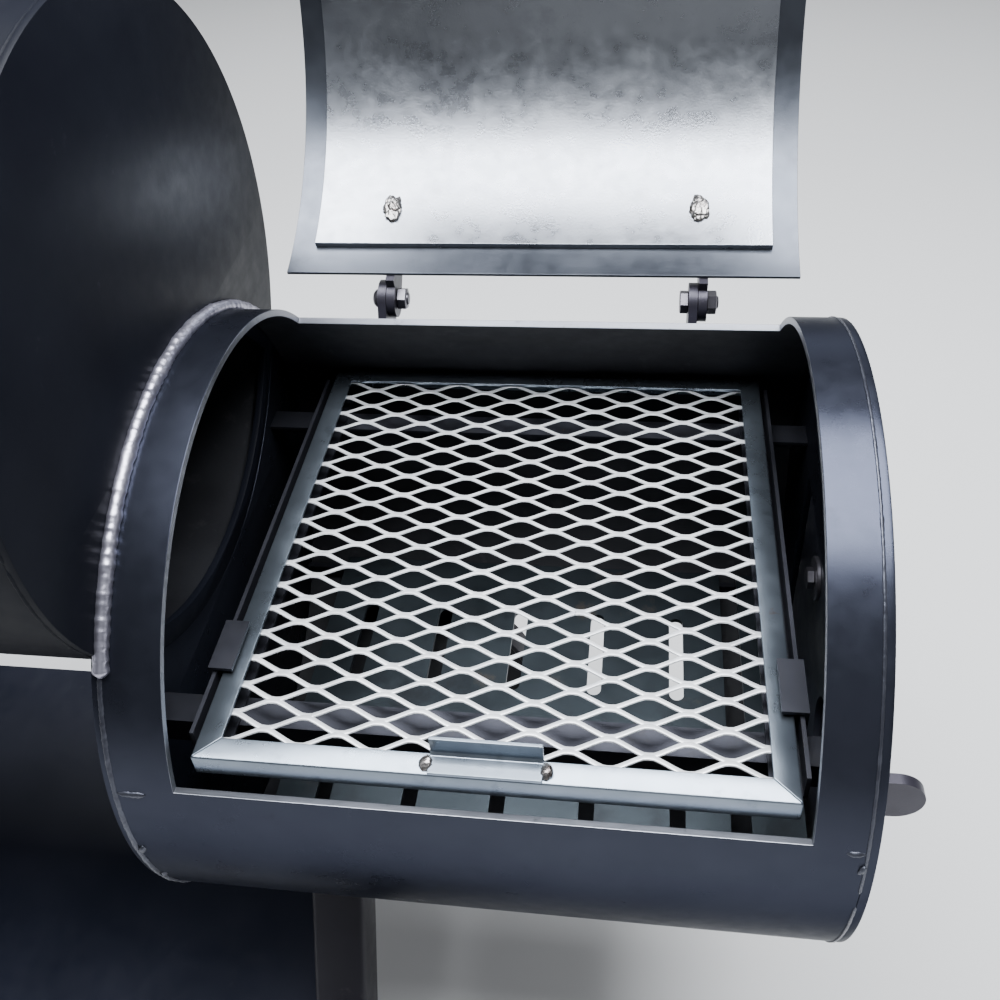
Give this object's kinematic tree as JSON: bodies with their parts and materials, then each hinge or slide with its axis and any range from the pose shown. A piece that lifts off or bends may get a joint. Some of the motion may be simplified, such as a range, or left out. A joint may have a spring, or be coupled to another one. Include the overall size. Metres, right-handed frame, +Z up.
{
  "type": "offset smoker",
  "caption": "Offset smoker: horizontal pipe cooking chamber with stack and a lower firebox, hinged lids, sliding grate, side and ash doors, on splayed legs with shelf and wheels.",
  "frame": {"origin": "on the floor, under the centre of the whole object's bounding box", "axes": "+X along both pipes from the stack end to the firebox end, +Y towards the back where the hinges are, +Z up"},
  "size_m": [1.5548, 0.816, 1.7276],
  "materials": {
    "chamber_paint": "satin blue-black high-heat paint",
    "firebox_paint": "satin blue-black high-heat paint",
    "door_paint": "satin blue-black high-heat paint",
    "stand_paint": "satin near-black paint",
    "shelf_paint": "satin near-black paint",
    "hinge_steel": "dark cut plate, satin",
    "fastener_steel": "dark zinc, satin",
    "lid_inside_steel": "bare mill steel, finely mottled",
    "lid_flashing_steel": "bare mill steel",
    "weld_metal": "bright lumpy weld",
    "plug_weld_metal": "lumpy weld, heat-tinted",
    "frame_steel": "blue-grey mill steel with heat tint",
    "mesh_steel": "bright expanded steel",
    "bracket_steel": "dark mill steel",
    "fire_plate_steel": "dark mottled heat-tinted steel",
    "cooking_steel": "mill steel",
    "grip_steel": "polished steel",
    "inner_steel": "dark smoked steel",
    "dial_face": "white dial",
    "needle_red": "red lacquer",
    "drain_brass": "satin brass",
    "wheel_paint": "satin near-black paint"
  },
  "bodies": {
    "frame": {"chamber_shell": "chamber_paint", "chamber_firebox_end_plate": "chamber_paint", "chamber_stack_end_plate": "chamber_paint", "chamber_grate_rails": "inner_steel", "cooking_grate_frames": "cooking_steel", "cooking_grate_meshes": "cooking_steel", "heat_baffle": "inner_steel", "chamber_hinge_ears": "hinge_steel", "chamber_hinge_bolts": "fastener_steel", "chamber_hinge_nuts": "fastener_steel", "tow_handle": "stand_paint", "firebox_shell": "firebox_paint", "firebox_closing_plate": "firebox_paint", "firebox_end_plate": "firebox_paint", "firebox_weld_bead": "weld_metal", "firebox_cross_members": "bracket_steel", "grate_rails": "bracket_steel", "grate_clips": "bracket_steel", "fire_plate": "fire_plate_steel", "lid_hinge_ears": "hinge_steel", "lid_hinge_bolts": "fastener_steel", "lid_hinge_nuts": "fastener_steel", "side_hinge_leaves": "hinge_steel", "side_hinge_pins": "fastener_steel", "ash_hinge": "hinge_steel", "smoke_stack": "chamber_paint", "stack_cap_bolt": "fastener_steel", "drain_pipe": "drain_brass", "firebox_legs": "stand_paint", "chamber_legs": "stand_paint", "shelf": "shelf_paint", "axle": "fastener_steel"},
    "firebox_lid": {"firebox_lid_plate": "lid_inside_steel", "firebox_lid_flashing": "lid_flashing_steel", "firebox_lid_hinge_arms": "hinge_steel", "firebox_lid_plug_welds": "plug_weld_metal", "firebox_lid_handle_posts": "hinge_steel", "firebox_lid_handle_grip": "grip_steel"},
    "firebox_grate": {"grate_frame": "frame_steel", "grate_mesh": "mesh_steel", "grate_handle": "frame_steel"},
    "side_door": {"side_door_plate": "door_paint", "side_door_knuckles": "hinge_steel", "side_door_pull": "hinge_steel", "side_door_bolt": "fastener_steel", "side_door_washer": "fastener_steel"},
    "side_damper": {"side_door_damper": "door_paint"},
    "ash_door": {"ash_door": "door_paint"},
    "chamber_door": {"chamber_door_plate": "door_paint", "chamber_door_flashing": "door_paint", "chamber_door_hinge_arms": "hinge_steel", "chamber_door_handle_posts": "hinge_steel", "chamber_door_handle_grip": "grip_steel", "thermometer_case": "grip_steel", "thermometer_dial": "dial_face"},
    "thermometer_needle": {"thermometer_needle": "needle_red"},
    "stack_cap": {"stack_cap": "door_paint"},
    "drain_valve": {"drain_valve_lever": "needle_red"},
    "wheel_front": {"wheels_front": "wheel_paint"},
    "wheel_back": {"wheels_back": "wheel_paint"}
  },
  "joints": [
    {"name": "firebox_lid_hinge", "type": "hinge", "parent": "frame", "child": "firebox_lid", "pos_m": [0.4796, 0.22123, 0.85213], "axis": [1, 0, 0], "range_deg": [0, 111.3]},
    {"name": "firebox_grate_slide", "type": "slide", "parent": "frame", "child": "firebox_grate", "axis": [0, 1, 0], "range_m": [-0.25, 0]},
    {"name": "side_door_hinge", "type": "hinge", "parent": "frame", "child": "side_door", "pos_m": [0.75435, 0.16003, 0.646], "axis": [0, 0, 1], "range_deg": [0, 105]},
    {"name": "side_damper_pivot", "type": "hinge", "parent": "side_door", "child": "side_damper", "pos_m": [0.74885, 0.04503, 0.674], "axis": [1, 0, 0], "range_deg": [-60, 0]},
    {"name": "ash_door_hinge", "type": "hinge", "parent": "frame", "child": "ash_door", "pos_m": [0.53635, 0.03327, 0.42759], "axis": [1, 0, 0], "range_deg": [0, 102]},
    {"name": "chamber_door_hinge", "type": "hinge", "parent": "frame", "child": "chamber_door", "pos_m": [-0.19565, 0.14335, 1.21228], "axis": [1, 0, 0], "range_deg": [-95, 0]},
    {"name": "thermometer_needle_turn", "type": "hinge", "parent": "chamber_door", "child": "thermometer_needle", "pos_m": [-0.194, -0.19465, 1.14289], "axis": [0, -0.7431, 0.6691], "range_deg": [-270, 0]},
    {"name": "stack_cap_swing", "type": "hinge", "parent": "frame", "child": "stack_cap", "pos_m": [-0.54885, 0.00403, 1.72], "axis": [0, 0, 1], "range_deg": [0, 100]},
    {"name": "drain_valve_turn", "type": "hinge", "parent": "frame", "child": "drain_valve", "pos_m": [-0.67565, -0.03597, 0.652], "axis": [0, 1, 0], "range_deg": [0, 90]},
    {"name": "wheel_front_spin", "type": "hinge", "parent": "frame", "child": "wheel_front", "pos_m": [0.30635, -0.37197, 0.127], "axis": [0, 1, 0], "continuous": true},
    {"name": "wheel_back_spin", "type": "hinge", "parent": "frame", "child": "wheel_back", "pos_m": [0.30635, 0.35203, 0.127], "axis": [0, 1, 0], "continuous": true}
  ]
}
